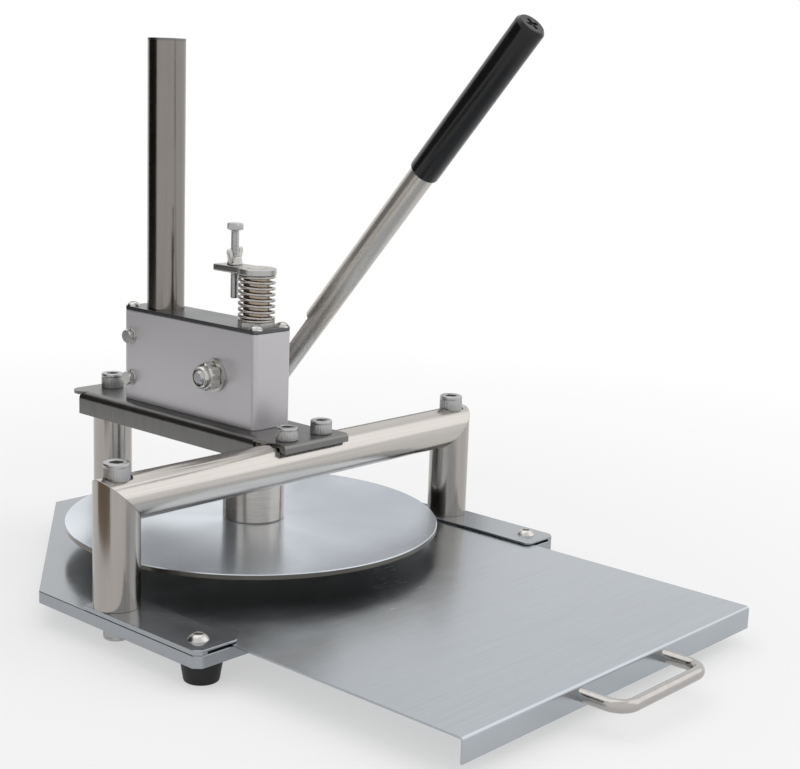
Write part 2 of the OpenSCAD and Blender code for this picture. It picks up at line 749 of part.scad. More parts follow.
module lever_bar() {
  color("Silver") difference() {
    on_lever() difference() {
      translate([0, 0, -15]) cylinder(d = lever_d, h = lever_end - 5 + 15);
      rotate([0, 0, flat_turn]) translate([-BIG/2, lever_d/2 - flat_cut, -BIG + flat_l])
        cube([BIG, BIG, BIG]);
    }
    translate([0, pivot_y, pivot_z]) along_x(6.4, 0, lever_x + 20);
    translate([0, pivot_y, pivot_z]) along_x(11, lever_seat, lever_x + 20);
  }
}

module lever_screw() {
  color("DimGray") translate([lever_seat, pivot_y, pivot_z]) rotate([0, 90, 0]) cap_screw(6, 10, 6, 24);
}

module lever_grip() {
  color("Black") on_lever() difference() {
    union() {
      translate([0, 0, grip_from]) cylinder(d1 = grip_d - 1, d2 = grip_d, h = 1.5);
      translate([0, 0, grip_from + 1.5]) cylinder(d = grip_d, h = grip_l - 4);
      translate([0, 0, lever_end - 2.5]) cylinder(d1 = grip_d, d2 = grip_d - 4, h = 2.5);
    }
    translate([0, 0, grip_from - 1]) cylinder(d = lever_d + 0.02, h = grip_l - 3.5);
    translate([-5, -1.2, lever_end - 1.4]) cube([10, 2.4, 3]);
    translate([-1.2, -5, lever_end - 1.4]) cube([2.4, 10, 3]);
  }
}

// Tray
module tray_sheet() {
  r = tray_t + 1;
  color("Gainsboro") {
    translate([-tray_x, tray_y + r, base_z]) cube([2*tray_x, tray_l - r, tray_t]);
    translate([-tray_x, tray_y, tray_z - flange_h]) cube([2*tray_x, tray_t, flange_h - r]);
    translate([-tray_x, tray_y + r, tray_z - r]) intersection() {
      difference() {
        along_x(2*r, 0, 2*tray_x);
        along_x(2, -1, 2*tray_x + 1);
      }
      translate([-1, -r, 0]) cube([2*tray_x + 2, r, r]);
    }
  }
}

module tray_handle() {
  br = 12;
  color("Silver") {
    for (s = [-1, 1]) {
      translate([s*handle_w/2, tray_y - handle_l + br, handle_z]) rotate([-90, 0, 0])
        cylinder(d = handle_d, h = handle_l - br);
      translate([s*(handle_w/2 - br), tray_y - handle_l + br, handle_z])
        rotate([0, 0, s > 0 ? -90 : 180]) rotate_extrude(angle = 90) translate([br, 0]) circle(d = handle_d);
    }
    translate([0, tray_y - handle_l, handle_z]) along_x(handle_d, -handle_w/2 + br, handle_w/2 - br);
  }
}

base_plate();
rubber_feet();
foot_screws();
left_rail();
right_rail();
rail_screws();
left_post();
right_post();
crossbar();
corner_screws();
rear_post();
base_screws();
bridge_plate();
bridge_screws();
rear_screw();
housing();
housing_screws();
rear_block();
cross_bolts();
cross_nuts();
housing_lid();
lid_screws();
hand_post();
hand_post_cap();
hand_post_plug();
hand_post_screw();
lower_bush();
upper_guide();
press_shaft();
press_collar();
collar_screw();
press_plate();
plate_screw();
stop_bracket();
return_spring();
stop_bolt();
wing_nut();
pivot_bushes();
pivot_shaft();
drive_pinion();
pinion_key();
pivot_washer();
pivot_nut();
lever_hub();
hub_pin();
lever_bar();
lever_screw();
lever_grip();
tray_sheet();
tray_handle();
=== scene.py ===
import math

import bmesh
import bpy
from mathutils import Matrix, Vector


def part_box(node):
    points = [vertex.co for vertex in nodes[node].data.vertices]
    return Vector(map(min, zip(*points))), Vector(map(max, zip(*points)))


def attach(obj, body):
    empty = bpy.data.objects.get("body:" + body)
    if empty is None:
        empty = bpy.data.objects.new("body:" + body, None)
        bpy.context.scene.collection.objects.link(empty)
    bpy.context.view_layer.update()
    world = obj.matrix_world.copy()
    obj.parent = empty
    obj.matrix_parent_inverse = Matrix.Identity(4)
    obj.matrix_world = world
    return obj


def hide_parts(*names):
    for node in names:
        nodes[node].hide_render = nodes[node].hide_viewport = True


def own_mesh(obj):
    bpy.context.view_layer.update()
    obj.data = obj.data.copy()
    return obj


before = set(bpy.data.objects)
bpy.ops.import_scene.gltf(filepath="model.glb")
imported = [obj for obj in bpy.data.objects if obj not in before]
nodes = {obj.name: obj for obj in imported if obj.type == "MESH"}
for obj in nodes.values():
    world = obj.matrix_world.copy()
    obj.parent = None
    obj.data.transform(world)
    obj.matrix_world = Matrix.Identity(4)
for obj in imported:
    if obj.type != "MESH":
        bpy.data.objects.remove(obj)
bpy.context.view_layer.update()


# Base plate
# A steel plate with a narrowed rear, satin ground on top along its width.
# Its sawn edges are broken with a small chamfer, which catches the light.
MM = 0.001
JOIN_GAP = 0.002


class Wire:
    """One socket of a node tree. Sums written on it become Math nodes."""

    def __init__(self, tree, socket=None):
        self.tree = tree
        self.socket = socket

    def node(self, kind, sockets=None, out=0, **settings):
        made = self.tree.nodes.new(kind)
        for key, value in settings.items():
            setattr(made, key, value)
        for key, value in (sockets or {}).items():
            if isinstance(value, Wire):
                self.tree.links.new(value.socket, made.inputs[key])
            else:
                made.inputs[key].default_value = value
        return Wire(self.tree, made.outputs[out] if made.outputs else None)

    def __add__(self, other):
        return self.node("ShaderNodeMath", {0: self, 1: other}, operation="ADD")

    def __mul__(self, other):
        return self.node("ShaderNodeMath", {0: self, 1: other}, operation="MULTIPLY")

    __radd__ = __add__
    __rmul__ = __mul__


def new_finish(name):
    finish = bpy.data.materials.new(name)
    finish.use_nodes = True
    finish.node_tree.nodes.clear()
    return finish, Wire(finish.node_tree)


def noise(wire, spot, scale, detail=3.0):
    return wire.node("ShaderNodeTexNoise", {"Vector": spot, "Scale": scale, "Detail": detail})


def blended(wire, share, first, second):
    return wire.node("ShaderNodeMix", {0: share, 6: (*first, 1), 7: (*second, 1)}, out=2, data_type="RGBA")


def surfaced(finish, wire, sockets):
    """Closes a finish with the surface that these sockets give."""
    surface = wire.node("ShaderNodeBsdfPrincipled", sockets)
    wire.node("ShaderNodeOutputMaterial", {"Surface": surface})
    return finish


def steel(name, dull, light, rough, grain, lean=0.0, lines=0.16, clouds=0.14, depth=0.02, metal=1.0):
    """Ground or drawn metal: grain gives the size of its hair lines in mm along X, Y and Z."""
    finish, wire = new_finish(name)
    spot = wire.node("ShaderNodeTexCoord", out="Object")
    size = tuple(side * MM for side in grain)
    laid = wire.node("ShaderNodeMapping", {"Vector": spot, "Rotation": (lean, 0, 0), "Scale": size},
                     vector_type="TEXTURE")
    hair = wire.node("ShaderNodeTexNoise", {"Vector": laid, "Scale": 1.0, "Detail": 3.0, "Roughness": 0.6})
    cloud = noise(wire, spot, 24.0)
    groove = wire.node("ShaderNodeBump", {"Strength": 0.35, "Distance": depth * MM, "Height": hair})
    return surfaced(finish, wire, {
        "Base Color": blended(wire, hair * 0.7 + cloud * 0.3, dull, light),
        "Metallic": metal,
        "Roughness": hair * lines + cloud * clouds + (rough - (lines + clouds) / 2),
        "Normal": groove})


def placed(name, data):
    thing = bpy.data.objects.new(name, data)
    bpy.context.scene.collection.objects.link(thing)
    return thing


def keep(node, mesh, finish, body="frame", ending="finished"):
    """Puts a finished piece in the scene, on its body, in place of its CAD node."""
    piece = placed(f"{node}_{ending}", mesh)
    mesh.materials.clear()
    mesh.materials.append(finish)
    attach(piece, body)
    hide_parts(node)
    return piece


def plain_mesh(piece):
    """The piece's mesh with its modifiers worked in; the carrier object is removed."""
    bpy.context.view_layer.update()
    seen = piece.evaluated_get(bpy.context.evaluated_depsgraph_get())
    mesh = bpy.data.meshes.new_from_object(seen)
    piece.modifiers.clear()
    bpy.data.objects.remove(piece)
    return mesh


def merged(node):
    """A copy of a CAD node's mesh, and its form with the loose triangles joined."""
    mesh = nodes[node].data.copy()
    if "custom_normal" in mesh.attributes:
        mesh.attributes.remove(mesh.attributes["custom_normal"])
    form = bmesh.new()
    form.from_mesh(mesh)
    bmesh.ops.remove_doubles(form, verts=form.verts, dist=JOIN_GAP * MM)
    return mesh, form


def shaped(form, mesh, crease):
    """Puts the form into the mesh; edges of more than crease degrees stay sharp."""
    form.to_mesh(mesh)
    form.free()
    mesh.set_sharp_from_angle(angle=math.radians(crease))
    return mesh


def eased(node, edge, segments=2, clamp=False, crease=35):
    """A copy of a CAD node's shape with its sharp edges rounded by edge mm."""
    mesh, form = merged(node)
    bmesh.ops.dissolve_limit(form, angle_limit=math.radians(0.5), verts=form.verts, edges=form.edges)
    for face in form.faces:
        face.smooth = True
    carrier = placed(node + "_blank", shaped(form, mesh, crease))
    bevel = carrier.modifiers.new("edge", "BEVEL")
    bevel.width = edge * MM
    bevel.segments = segments
    bevel.limit_method = "ANGLE"
    bevel.angle_limit = math.radians(crease)
    bevel.use_clamp_overlap = clamp
    bevel.harden_normals = True
    return plain_mesh(carrier)


plate_steel = steel("satin_ground_plate", dull=(0.29, 0.31, 0.33), light=(0.40, 0.42, 0.44),
                    rough=0.17, grain=(30, 1.0, 30), lines=0.08, clouds=0.08, metal=0.85)
keep("base_plate", eased("base_plate", edge=0.7), plate_steel)


# Rubber feet
# Four moulded black rubber feet with a tapered side and a fine matt skin.
# Each is held under the base by a round-head screw up its bore.
def rubber(name, colour, rough, pit, bend=1.4):
    finish, wire = new_finish(name)
    spot = wire.node("ShaderNodeTexCoord", out="Object")
    grit = noise(wire, spot, 900.0, 2.0)
    dust = noise(wire, spot, 40.0)
    dusty = tuple(side * 1.7 + 0.004 for side in colour)
    skin = wire.node("ShaderNodeBump", {"Strength": 0.3, "Distance": pit * MM, "Height": grit})
    return surfaced(finish, wire, {
        "Base Color": blended(wire, dust, colour, dusty),
        "Roughness": dust * 0.2 + (rough - 0.1),
        "IOR": bend,
        "Normal": skin})


foot_rubber = rubber("black_foot_rubber", colour=(0.010, 0.010, 0.011), rough=0.55, pit=0.05)
keep("rubber_feet", eased("rubber_feet", edge=0.8, segments=3), foot_rubber)


# Screws
# Bought socket screws: knurled cap screws in plain grey steel, low round heads in bright steel.
# Each is turned as one form with its hexagon socket, then set at its seats.
UP, DOWN, LEFT, RIGHT = (0, 0, 1), (0, 0, -1), (-1, 0, 0), (1, 0, 0)
SIXTH = math.radians(60)
KNURL_DEEP = 0.22
FOOT_SCREW = {"shank": 6, "head": 11, "tall": 3.5, "reach": 9}
RAIL_SCREW = {"shank": 6, "head": 14.5, "tall": 4.6, "reach": 7}
REAR_FOOT_X = 33


def turned(name, rings, sides=96):
    """A form from rings of (radius mm, height mm), round, hex or knurl, from its tip to its top."""
    form = bmesh.new()
    rows = []
    for radius, height, *kind in rings:
        if radius == 0:
            rows.append([form.verts.new((0, 0, height * MM))])
            continue
        row = []
        for step in range(sides):
            angle = 2 * math.pi * step / sides
            reach = radius
            if "hex" in kind:
                reach = radius / math.cos((angle % SIXTH) - SIXTH / 2)
            elif "knurl" in kind and step % 4 > 1:
                reach = radius - KNURL_DEEP
            across, along = reach * MM * math.cos(angle), reach * MM * math.sin(angle)
            row.append(form.verts.new((across, along, height * MM)))
        rows.append(row)
    for low, high in zip(rows, rows[1:]):
        for step in range(sides):
            after = (step + 1) % sides
            corners = [low[step], low[after]] if len(low) > 1 else [low[0]]
            corners += [high[after], high[step]] if len(high) > 1 else [high[0]]
            form.faces.new(corners)
    bmesh.ops.recalc_face_normals(form, faces=form.faces)
    for face in form.faces:
        face.smooth = True
    return shaped(form, bpy.data.meshes.new(name), crease=32)


def node_group(title, inputs):
    """A new tree for shapes with named inputs: the tree, a blank wire in it, a wire from each input."""
    tree = bpy.data.node_groups.new(title, "GeometryNodeTree")
    for name, kind in inputs.items():
        tree.interface.new_socket(name, in_out="INPUT", socket_type="NodeSocket" + kind)
    tree.interface.new_socket("Geometry", in_out="OUTPUT", socket_type="NodeSocketGeometry")
    wire = Wire(tree)
    return tree, wire, {name: wire.node("NodeGroupInput", out=name) for name in inputs}


def group_ends(wire, shape, finish):
    solid = wire.node("GeometryNodeRealizeInstances", {"Geometry": shape})
    shown = wire.node("GeometryNodeSetMaterial", {"Geometry": solid, "Material": finish})
    wire.node("NodeGroupOutput", {"Geometry": shown})


def seating_tree():
    """Sets one form at every point of the carrier, facing one way."""
    tree, wire, given = node_group("set_at_seats", {
        "Geometry": "Geometry", "Form": "Object", "Facing": "Vector", "Finish": "Material"})
    form = wire.node("GeometryNodeObjectInfo", {"Object": given["Form"]}, out="Geometry")
    facing = wire.node("FunctionNodeAlignRotationToVector", {"Vector": given["Facing"]}, axis="Z")
    seated = wire.node("GeometryNodeInstanceOnPoints", {
        "Points": given["Geometry"], "Instance": form, "Rotation": facing})
    group_ends(wire, seated, given["Finish"])
    return tree


def worked(carrier, tree, values):
    """The plain mesh that the tree makes on this carrier from these values."""
    stage = carrier.modifiers.new(tree.name, "NODES")
    stage.node_group = tree
    for item in tree.interface.items_tree:
        if item.in_out == "INPUT" and item.name in values:
            stage[item.identifier] = values[item.name]
    return plain_mesh(carrier)


seats_tree = seating_tree()


def fasten(node, form, seats, facing, finish, body="frame"):
    """Sets the form at each seat (mm), in place of its CAD node."""
    template = placed(node + "_form", form)
    points = bpy.data.meshes.new(node + "_seats")
    points.from_pydata([tuple(side * MM for side in seat) for seat in seats], [], [])
    carrier = placed(node + "_carrier", points)
    mesh = worked(carrier, seats_tree, {"Form": template, "Facing": facing, "Finish": finish})
    bpy.data.objects.remove(template)
    keep(node, mesh, finish, body)


def shank_rings(shank, reach, chamfer):
    """The chamfered shank below a head, from its tip to the seat at height 0."""
    return [(0, -reach), (shank / 2 - chamfer, -reach), (shank / 2, -reach + chamfer), (shank / 2, 0)]


def cap_screw(shank, head, tall, reach):
    side, key = head / 2, head / 4
    return turned("cap_screw", shank_rings(shank, reach, 0.7) + [
        (side - 0.5, 0), (side, 0.5, "knurl"), (side, tall * 0.70, "knurl"),
        (side - 0.2, tall * 0.75), (side, tall * 0.80), (side, tall - 1.0),
        (side - 0.3, tall - 0.35), (side - 1.0, tall), (key + 0.35, tall, "hex"),
        (key, tall - 0.4, "hex"), (key, tall * 0.45, "hex"), (0, tall * 0.38)], sides=168)


def dome_screw(shank, head, tall, reach, steps=8):
    ball = (head * head / 4 + tall * tall) / (2 * tall)
    rings = shank_rings(shank, reach, 0.5) + [(head / 2 - 0.2, 0)]
    key = head * 0.18
    rim = math.asin((key + 0.6) / ball)
    edge = math.asin(min(1.0, head / 2 / ball))
    for step in range(steps + 1):
        turn = edge + (rim - edge) * step / steps
        rings.append((ball * math.sin(turn), tall - ball + ball * math.cos(turn)))
    top = rings[-1][1]
    rings += [(key, top - 0.1, "hex"), (key - 0.1, top - 0.5, "hex"), (key - 0.1, tall * 0.45, "hex"),
              (0, tall * 0.4)]
    return turned("dome_screw", rings, sides=48)


def span(node):
    """Lowest and highest corner of a CAD node in mm, and the middle between them."""
    low, high = (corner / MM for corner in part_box(node))
    return low, high, (low + high) / 2


def top_pair(node, screw):
    """Seats of two like screws, left and right, with their heads on top."""
    low, high, middle = span(node)
    return [(side * (high.x - screw["head"] / 2), middle.y, high.z - screw["tall"]) for side in (-1, 1)]


screw_steel = steel("plain_screw_steel", dull=(0.34, 0.34, 0.34), light=(0.52, 0.52, 0.52),
                    rough=0.34, grain=(1.5, 1.5, 1.5), lines=0.2, depth=0.008)
bright_steel = steel("bright_screw_steel", dull=(0.44, 0.43, 0.41), light=(0.60, 0.59, 0.57),
                     rough=0.25, grain=(2, 2, 2), lines=0.1, depth=0.006)
low, high, middle = span("foot_screws")
half, seat_z = FOOT_SCREW["head"] / 2, low.z + FOOT_SCREW["tall"]
foot_seats = [(side * (high.x - half), low.y + half, seat_z) for side in (-1, 1)]
foot_seats += [(side * REAR_FOOT_X, high.y - half, seat_z) for side in (-1, 1)]
fasten("foot_screws", dome_screw(**FOOT_SCREW), foot_seats, DOWN, bright_steel)
rail_seats = top_pair("rail_screws", RAIL_SCREW)
fasten("rail_screws", dome_screw(**RAIL_SCREW), rail_seats, UP, bright_steel)


# Tray rails
# Two flat strips of the base's own steel, screwed on at its front.
# They are cut away below, so that their inner edges hold the tray down.
for rail in ("left_rail", "right_rail"):
    keep(rail, eased(rail, edge=0.5), plate_steel)


# Posts and crossbar
# Round stainless bar, polished along its length. The front corners are mitred and drawn together
# by a cap screw in a spot face; the posts are screwed up through the base.
CORNER_SCREW = {"shank": 12, "head": 18, "tall": 12, "reach": 40}
BASE_SCREW = {"shank": 10, "head": 18, "tall": 10, "reach": 30}

post_steel = steel("polished_post_bar", dull=(0.33, 0.305, 0.28), light=(0.46, 0.435, 0.41),
                   rough=0.18, grain=(1.6, 1.6, 160), lines=0.12, clouds=0.06, depth=0.007)
# Painted highlight: the crossbar's colour is a lighter copy of the posts' bar, for the light along its top.
lit_cross_steel = steel("polished_cross_bar_painted_highlight", dull=(0.42, 0.398, 0.37), light=(0.58, 0.555, 0.525),
                    rough=0.21, grain=(160, 1.6, 1.6), lines=0.12, clouds=0.06, depth=0.007)
for post in ("left_post", "right_post", "rear_post"):
    keep(post, eased(post, edge=0.3), post_steel)
keep("crossbar", eased("crossbar", edge=0.3), lit_cross_steel)
corner_seats = top_pair("corner_screws", CORNER_SCREW)
fasten("corner_screws", cap_screw(**CORNER_SCREW), corner_seats, UP, screw_steel)
low, high, middle = span("base_screws")
half, seat_z = BASE_SCREW["head"] / 2, low.z + BASE_SCREW["tall"]
base_seats = [(side * (high.x - half), low.y + half, seat_z) for side in (-1, 1)]
base_seats.append((0, high.y - half, seat_z))
fasten("base_screws", cap_screw(**BASE_SCREW), base_seats, DOWN, screw_steel)


# Bridge plate
# Bent dark sheet steel from the crossbar to the rear post, with turned-down sides and front lip.
# Two cap screws hold it to the crossbar, and one to the rear post.
BRIDGE_SCREW = {"shank": 10, "head": 16, "tall": 10, "reach": 22}
REAR_SCREW = {"shank": 12, "head": 18, "tall": 12, "reach": 30}

sheet_steel = steel("dark_bent_sheet", dull=(0.15, 0.148, 0.146), light=(0.225, 0.222, 0.218),
                    rough=0.32, grain=(30, 6, 30), lines=0.02, clouds=0.06, depth=0.001)
keep("bridge_plate", eased("bridge_plate", edge=0.4, clamp=True), sheet_steel)
bridge_seats = top_pair("bridge_screws", BRIDGE_SCREW)
fasten("bridge_screws", cap_screw(**BRIDGE_SCREW), bridge_seats, UP, screw_steel)
low, high, middle = span("rear_screw")
rear_seat = (0, middle.y, high.z - REAR_SCREW["tall"])
fasten("rear_screw", cap_screw(**REAR_SCREW), [rear_seat], UP, screw_steel)


# Gear housing
# A narrow closed box with rounded upright corners, in silver grey semi-gloss paint.
# A dark lid is screwed on top, and two bolts cross it near the rear, with nuts on the far side.
LID_SCREW = {"shank": 4, "head": 11, "tall": 4, "reach": 9}
BOLT_SHANK, BOLT_FLATS, BOLT_WASHER = 6, 10, 12.5
BOLT_TALL, BOLT_REACH, NUT_TALL = 5.4, 44, 6


def paint(name, colour, rough, peel):
    finish, wire = new_finish(name)
    spot = wire.node("ShaderNodeTexCoord", out="Object")
    skin = noise(wire, spot, 420.0, 2.0)
    cloud = noise(wire, spot, 18.0)
    lighter = tuple(side * 1.10 for side in colour)
    bump = wire.node("ShaderNodeBump", {"Strength": 0.2, "Distance": peel * MM, "Height": skin})
    return surfaced(finish, wire, {
        "Base Color": blended(wire, cloud, colour, lighter),
        "Metallic": 0.55,
        "Roughness": cloud * 0.12 + (rough - 0.06),
        "Coat Weight": 0.15,
        "Coat Roughness": 0.2,
        "Normal": bump})


def washer_rings(washer):
    """A washer 1.2 mm thick with broken edges, from its seat at height 0."""
    side = washer / 2
    return [(side - 0.2, 0), (side, 0.2), (side, 0.9), (side - 0.3, 1.2)]


def hex_bolt(shank, flats, tall, washer, reach):
    """A hexagon bolt on a washer, its seat at height 0."""
    side = flats / 2
    return turned("hex_bolt", shank_rings(shank, reach, 0.5) + washer_rings(washer) + [
        (side * 0.99, 1.2), (side, 1.6, "hex"), (side, tall - 1.0, "hex"), (side * 0.97, tall), (0, tall)])


def bolt_nut(shank, flats, tall, washer):
    """A hexagon nut on a washer, its seat at height 0."""
    side, bore = flats / 2, shank / 2 + 0.05
    return turned("bolt_nut", [(bore, 0)] + washer_rings(washer) + [
        (side * 0.99, 1.2), (side, 1.7, "hex"), (side, tall - 0.7, "hex"), (side * 0.97, tall),
        (shank / 2 + 0.5, tall), (bore, tall - 0.5), (bore, 0)])


def dress(finish, *names):
    for name in names:
        for slot in nodes[name].material_slots:
            slot.material = finish


house_paint = paint("silver_grey_paint", colour=(0.53, 0.515, 0.535), rough=0.36, peel=0.03)
keep("housing", eased("housing", edge=0.6, segments=3), house_paint)
lid_steel = steel("dark_lid_sheet", dull=(0.085, 0.087, 0.09), light=(0.14, 0.142, 0.145),
                  rough=0.30, grain=(30, 2, 30), lines=0.05, depth=0.004)
keep("housing_lid", eased("housing_lid", edge=0.5), lid_steel)
low, high, middle = span("lid_screws")
half, seat_z = LID_SCREW["head"] / 2, high.z - LID_SCREW["tall"]
lid_seats = [(side * (high.x - half), y, seat_z) for side in (-1, 1) for y in (low.y + half, high.y - half)]
fasten("lid_screws", dome_screw(**LID_SCREW), lid_seats, UP, bright_steel)
low, high, middle = span("cross_bolts")
bolt_heights = (low.z + BOLT_WASHER / 2, high.z - BOLT_WASHER / 2)
bolt_seats = [(low.x + BOLT_TALL, middle.y, z) for z in bolt_heights]
bolt_form = hex_bolt(BOLT_SHANK, BOLT_FLATS, BOLT_TALL, BOLT_WASHER, BOLT_REACH)
fasten("cross_bolts", bolt_form, bolt_seats, LEFT, bright_steel)
nut_x = span("cross_nuts")[0].x
nut_seats = [(nut_x, middle.y, z) for z in bolt_heights]
nut_form = bolt_nut(BOLT_SHANK, BOLT_FLATS, NUT_TALL, BOLT_WASHER)
fasten("cross_nuts", nut_form, nut_seats, RIGHT, bright_steel)
dress(bright_steel, "housing_screws")
dress(screw_steel, "rear_block")


# Hand post
# A polished stainless tube that stands through the lid, closed by a pressed cap.
# A plug in its foot takes the screw that holds it from below.
# Painted shade: the tube's colour is a darker copy of the posts' polished steel, for the dark tones it
# mirrors.
shaded_tube_steel = steel("polished_tube_painted_shade", dull=(0.20, 0.185, 0.17), light=(0.29, 0.27, 0.25),
                   rough=0.19, grain=(1.6, 1.6, 160), lines=0.12, clouds=0.06, depth=0.007)
dress(shaded_tube_steel, "hand_post")
dress(sheet_steel, "hand_post_cap")
dress(screw_steel, "hand_post_plug", "hand_post_screw")


# Press shaft and plate
# A ground shaft in a bronze bush and a hexagon guide carries a collar and the round plate.
# The plate is turned: its fine rings spread what it mirrors into a fan round the shaft, and a painted sheen
# repeats that fan in its colour.
def turned_plate(name, dull, light, painted_shade_under, top, rough):
    finish, wire = new_finish(name)
    spot = wire.node("ShaderNodeTexCoord", out="Object")
    flat = wire.node("ShaderNodeVectorMath", {0: spot, 1: (1, 1, 0)}, operation="MULTIPLY")
    reach = wire.node("ShaderNodeVectorMath", {0: flat}, out="Value", operation="LENGTH")
    ring = wire.node("ShaderNodeTexNoise", {"W": reach * 2400.0, "Scale": 1.0, "Detail": 2.0},
                     noise_dimensions="1D")
    # Painted sheen: light and dark wedges round the shaft, laid into the base colour.
    aim = wire.node("ShaderNodeVectorMath", {0: flat}, operation="NORMALIZE")
    painted_fan = noise(wire, aim, 1.6, 1.0)
    cloud = noise(wire, spot, 14.0)
    painted_sheen = wire.node("ShaderNodeMapRange", {"Value": painted_fan, "From Min": 0.35, "From Max": 0.65})
    rings_and_painted_sheen = ring * 0.1 + cloud * 0.2 + painted_sheen * 0.25 + 0.25
    groove = wire.node("ShaderNodeBump", {"Strength": 0.5, "Distance": 0.02 * MM, "Height": ring})
    # Painted shade: everything below the top face, the underside and the rim, takes the dark under colour.
    height = wire.node("ShaderNodeSeparateXYZ", {"Vector": spot}, out="Z")
    upper = wire.node("ShaderNodeMapRange", {
        "Value": height, "From Min": top - 0.6 * MM, "From Max": top - 0.2 * MM})
    faces = wire.node("ShaderNodeMix", {0: upper, 6: (*painted_shade_under, 1), 7: blended(wire, rings_and_painted_sheen, dull, light)}, out=2,
                      data_type="RGBA")
    return surfaced(finish, wire, {
        "Base Color": faces,
        "Metallic": 0.82,
        "Roughness": cloud * 0.12 + (rough - 0.06),
        "Anisotropic": 0.75,
        "Anisotropic Rotation": 0.25,
        "Normal": groove})


plate_finish = turned_plate("turned_press_plate_painted_sheen_and_shade", dull=(0.52, 0.555, 0.60), light=(0.86, 0.92, 0.985),
                            painted_shade_under=(0.15, 0.14, 0.125), top=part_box("press_plate")[1].z, rough=0.23)
# Painted shade: the shaft's colour is a darker, browner copy of the collar's turned steel, for the shaft in
# shade inside the spring; the hub pin shares it.
shaded_shaft_steel = steel("ground_shaft_painted_shade", dull=(0.27, 0.22, 0.17), light=(0.42, 0.355, 0.285),
                    rough=0.20, grain=(1.5, 1.5, 0.8), depth=0.006)
collar_steel = steel("turned_collar", dull=(0.44, 0.405, 0.37), light=(0.60, 0.56, 0.52),
                     rough=0.20, grain=(20, 20, 0.8), depth=0.006)
bronze = steel("bush_bronze", dull=(0.46, 0.27, 0.11), light=(0.62, 0.40, 0.18),
               rough=0.32, grain=(2, 2, 2))
dress(plate_finish, "press_plate")
dress(shaded_shaft_steel, "press_shaft")
dress(collar_steel, "press_collar")
dress(screw_steel, "collar_screw", "plate_screw", "upper_guide")
dress(bronze, "lower_bush", "pivot_bushes")


# Return spring
# Hard drawn steel wire, closed at both ends, round the shaft between the hexagon guide and the bracket.
# The real spring is pressed together as the plate goes down; here it is one fixed coil that moves with the
# press.
SPRING_TURNS = 9.0
COIL_R = 13.0
WIRE_R = 1.0
CLOSED_SHARE = 0.09
spring_foot, spring_top = (corner.z for corner in span("return_spring")[:2])
spring_tall = spring_top - spring_foot


def spring_tree():
    """A coil of round wire whose first and last stretch lie flat."""
    tree, wire, given = node_group("coil_spring", {
        "Turns": "Float", "Mean Radius": "Float", "Wire Radius": "Float", "Foot": "Float", "Rise": "Float",
        "Finish": "Material"})
    coil = wire.node("GeometryNodeCurveSpiral", {
        "Resolution": 40, "Rotations": given["Turns"], "Start Radius": given["Mean Radius"],
        "End Radius": given["Mean Radius"], "Height": given["Rise"]})
    along = wire.node("GeometryNodeSplineParameter", out="Factor")
    closed = wire.node("ShaderNodeMapRange", {
        "Value": along, "From Min": CLOSED_SHARE, "From Max": 1 - CLOSED_SHARE, "To Min": 0.0, "To Max": 1.0})
    spot = wire.node("GeometryNodeInputPosition")
    flat = wire.node("ShaderNodeVectorMath", {0: spot, 1: (1, 1, 0)}, operation="MULTIPLY")
    lift = wire.node("ShaderNodeCombineXYZ", {"Z": closed * given["Rise"] + given["Foot"]})
    lifted = wire.node("ShaderNodeVectorMath", {0: flat, 1: lift}, operation="ADD")
    path = wire.node("GeometryNodeSetPosition", {"Geometry": coil, "Position": lifted})
    round_wire = wire.node("GeometryNodeCurvePrimitiveCircle", {
        "Resolution": 12, "Radius": given["Wire Radius"]})
    swept = wire.node("GeometryNodeCurveToMesh", {
        "Curve": path, "Profile Curve": round_wire, "Fill Caps": True})
    group_ends(wire, wire.node("GeometryNodeSetShadeSmooth", {"Geometry": swept}), given["Finish"])
    return tree


spring_wire = steel("drawn_spring_wire", dull=(0.36, 0.34, 0.315), light=(0.52, 0.50, 0.47),
                    rough=0.26, grain=(3, 3, 3), depth=0.005)
spring_mesh = worked(placed("spring_carrier", bpy.data.meshes.new("spring_carrier")), spring_tree(), {
    "Turns": SPRING_TURNS, "Mean Radius": COIL_R * MM, "Wire Radius": WIRE_R * MM,
    "Foot": (spring_foot + WIRE_R) * MM, "Rise": (spring_tall - 2 * WIRE_R) * MM, "Finish": spring_wire})
spring = keep("return_spring", spring_mesh, spring_wire, "press", "coiled")
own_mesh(spring)


# Stop bracket, stop bolt and wing nut
# A flat steel bracket on the shaft's top carries the adjusting bolt, which a wing nut locks.
# The bolt's thread is cut as rings up to its hexagon head.
STOP_R = 3.0
STOP_CHAMFER = 0.7
STOP_HEAD = 5.5
STOP_HEAD_TALL = 4.9

bracket_steel = steel("bracket_steel", dull=(0.36, 0.358, 0.353), light=(0.50, 0.497, 0.49),
                      rough=0.30, grain=(20, 2, 20), lines=0.06, depth=0.005)
keep("stop_bracket", eased("stop_bracket", edge=1.1, segments=3), bracket_steel, "press")


def threaded(radius, start, end, pitch=1.0, deep=0.16):
    """Rings of a screw thread, from start to end."""
    turns = int((end - start) / pitch)
    rings = []
    for turn in range(turns):
        height = start + (end - start) * turn / turns
        rings += [(radius, height), (radius - deep, height + pitch / 2)]
    return rings


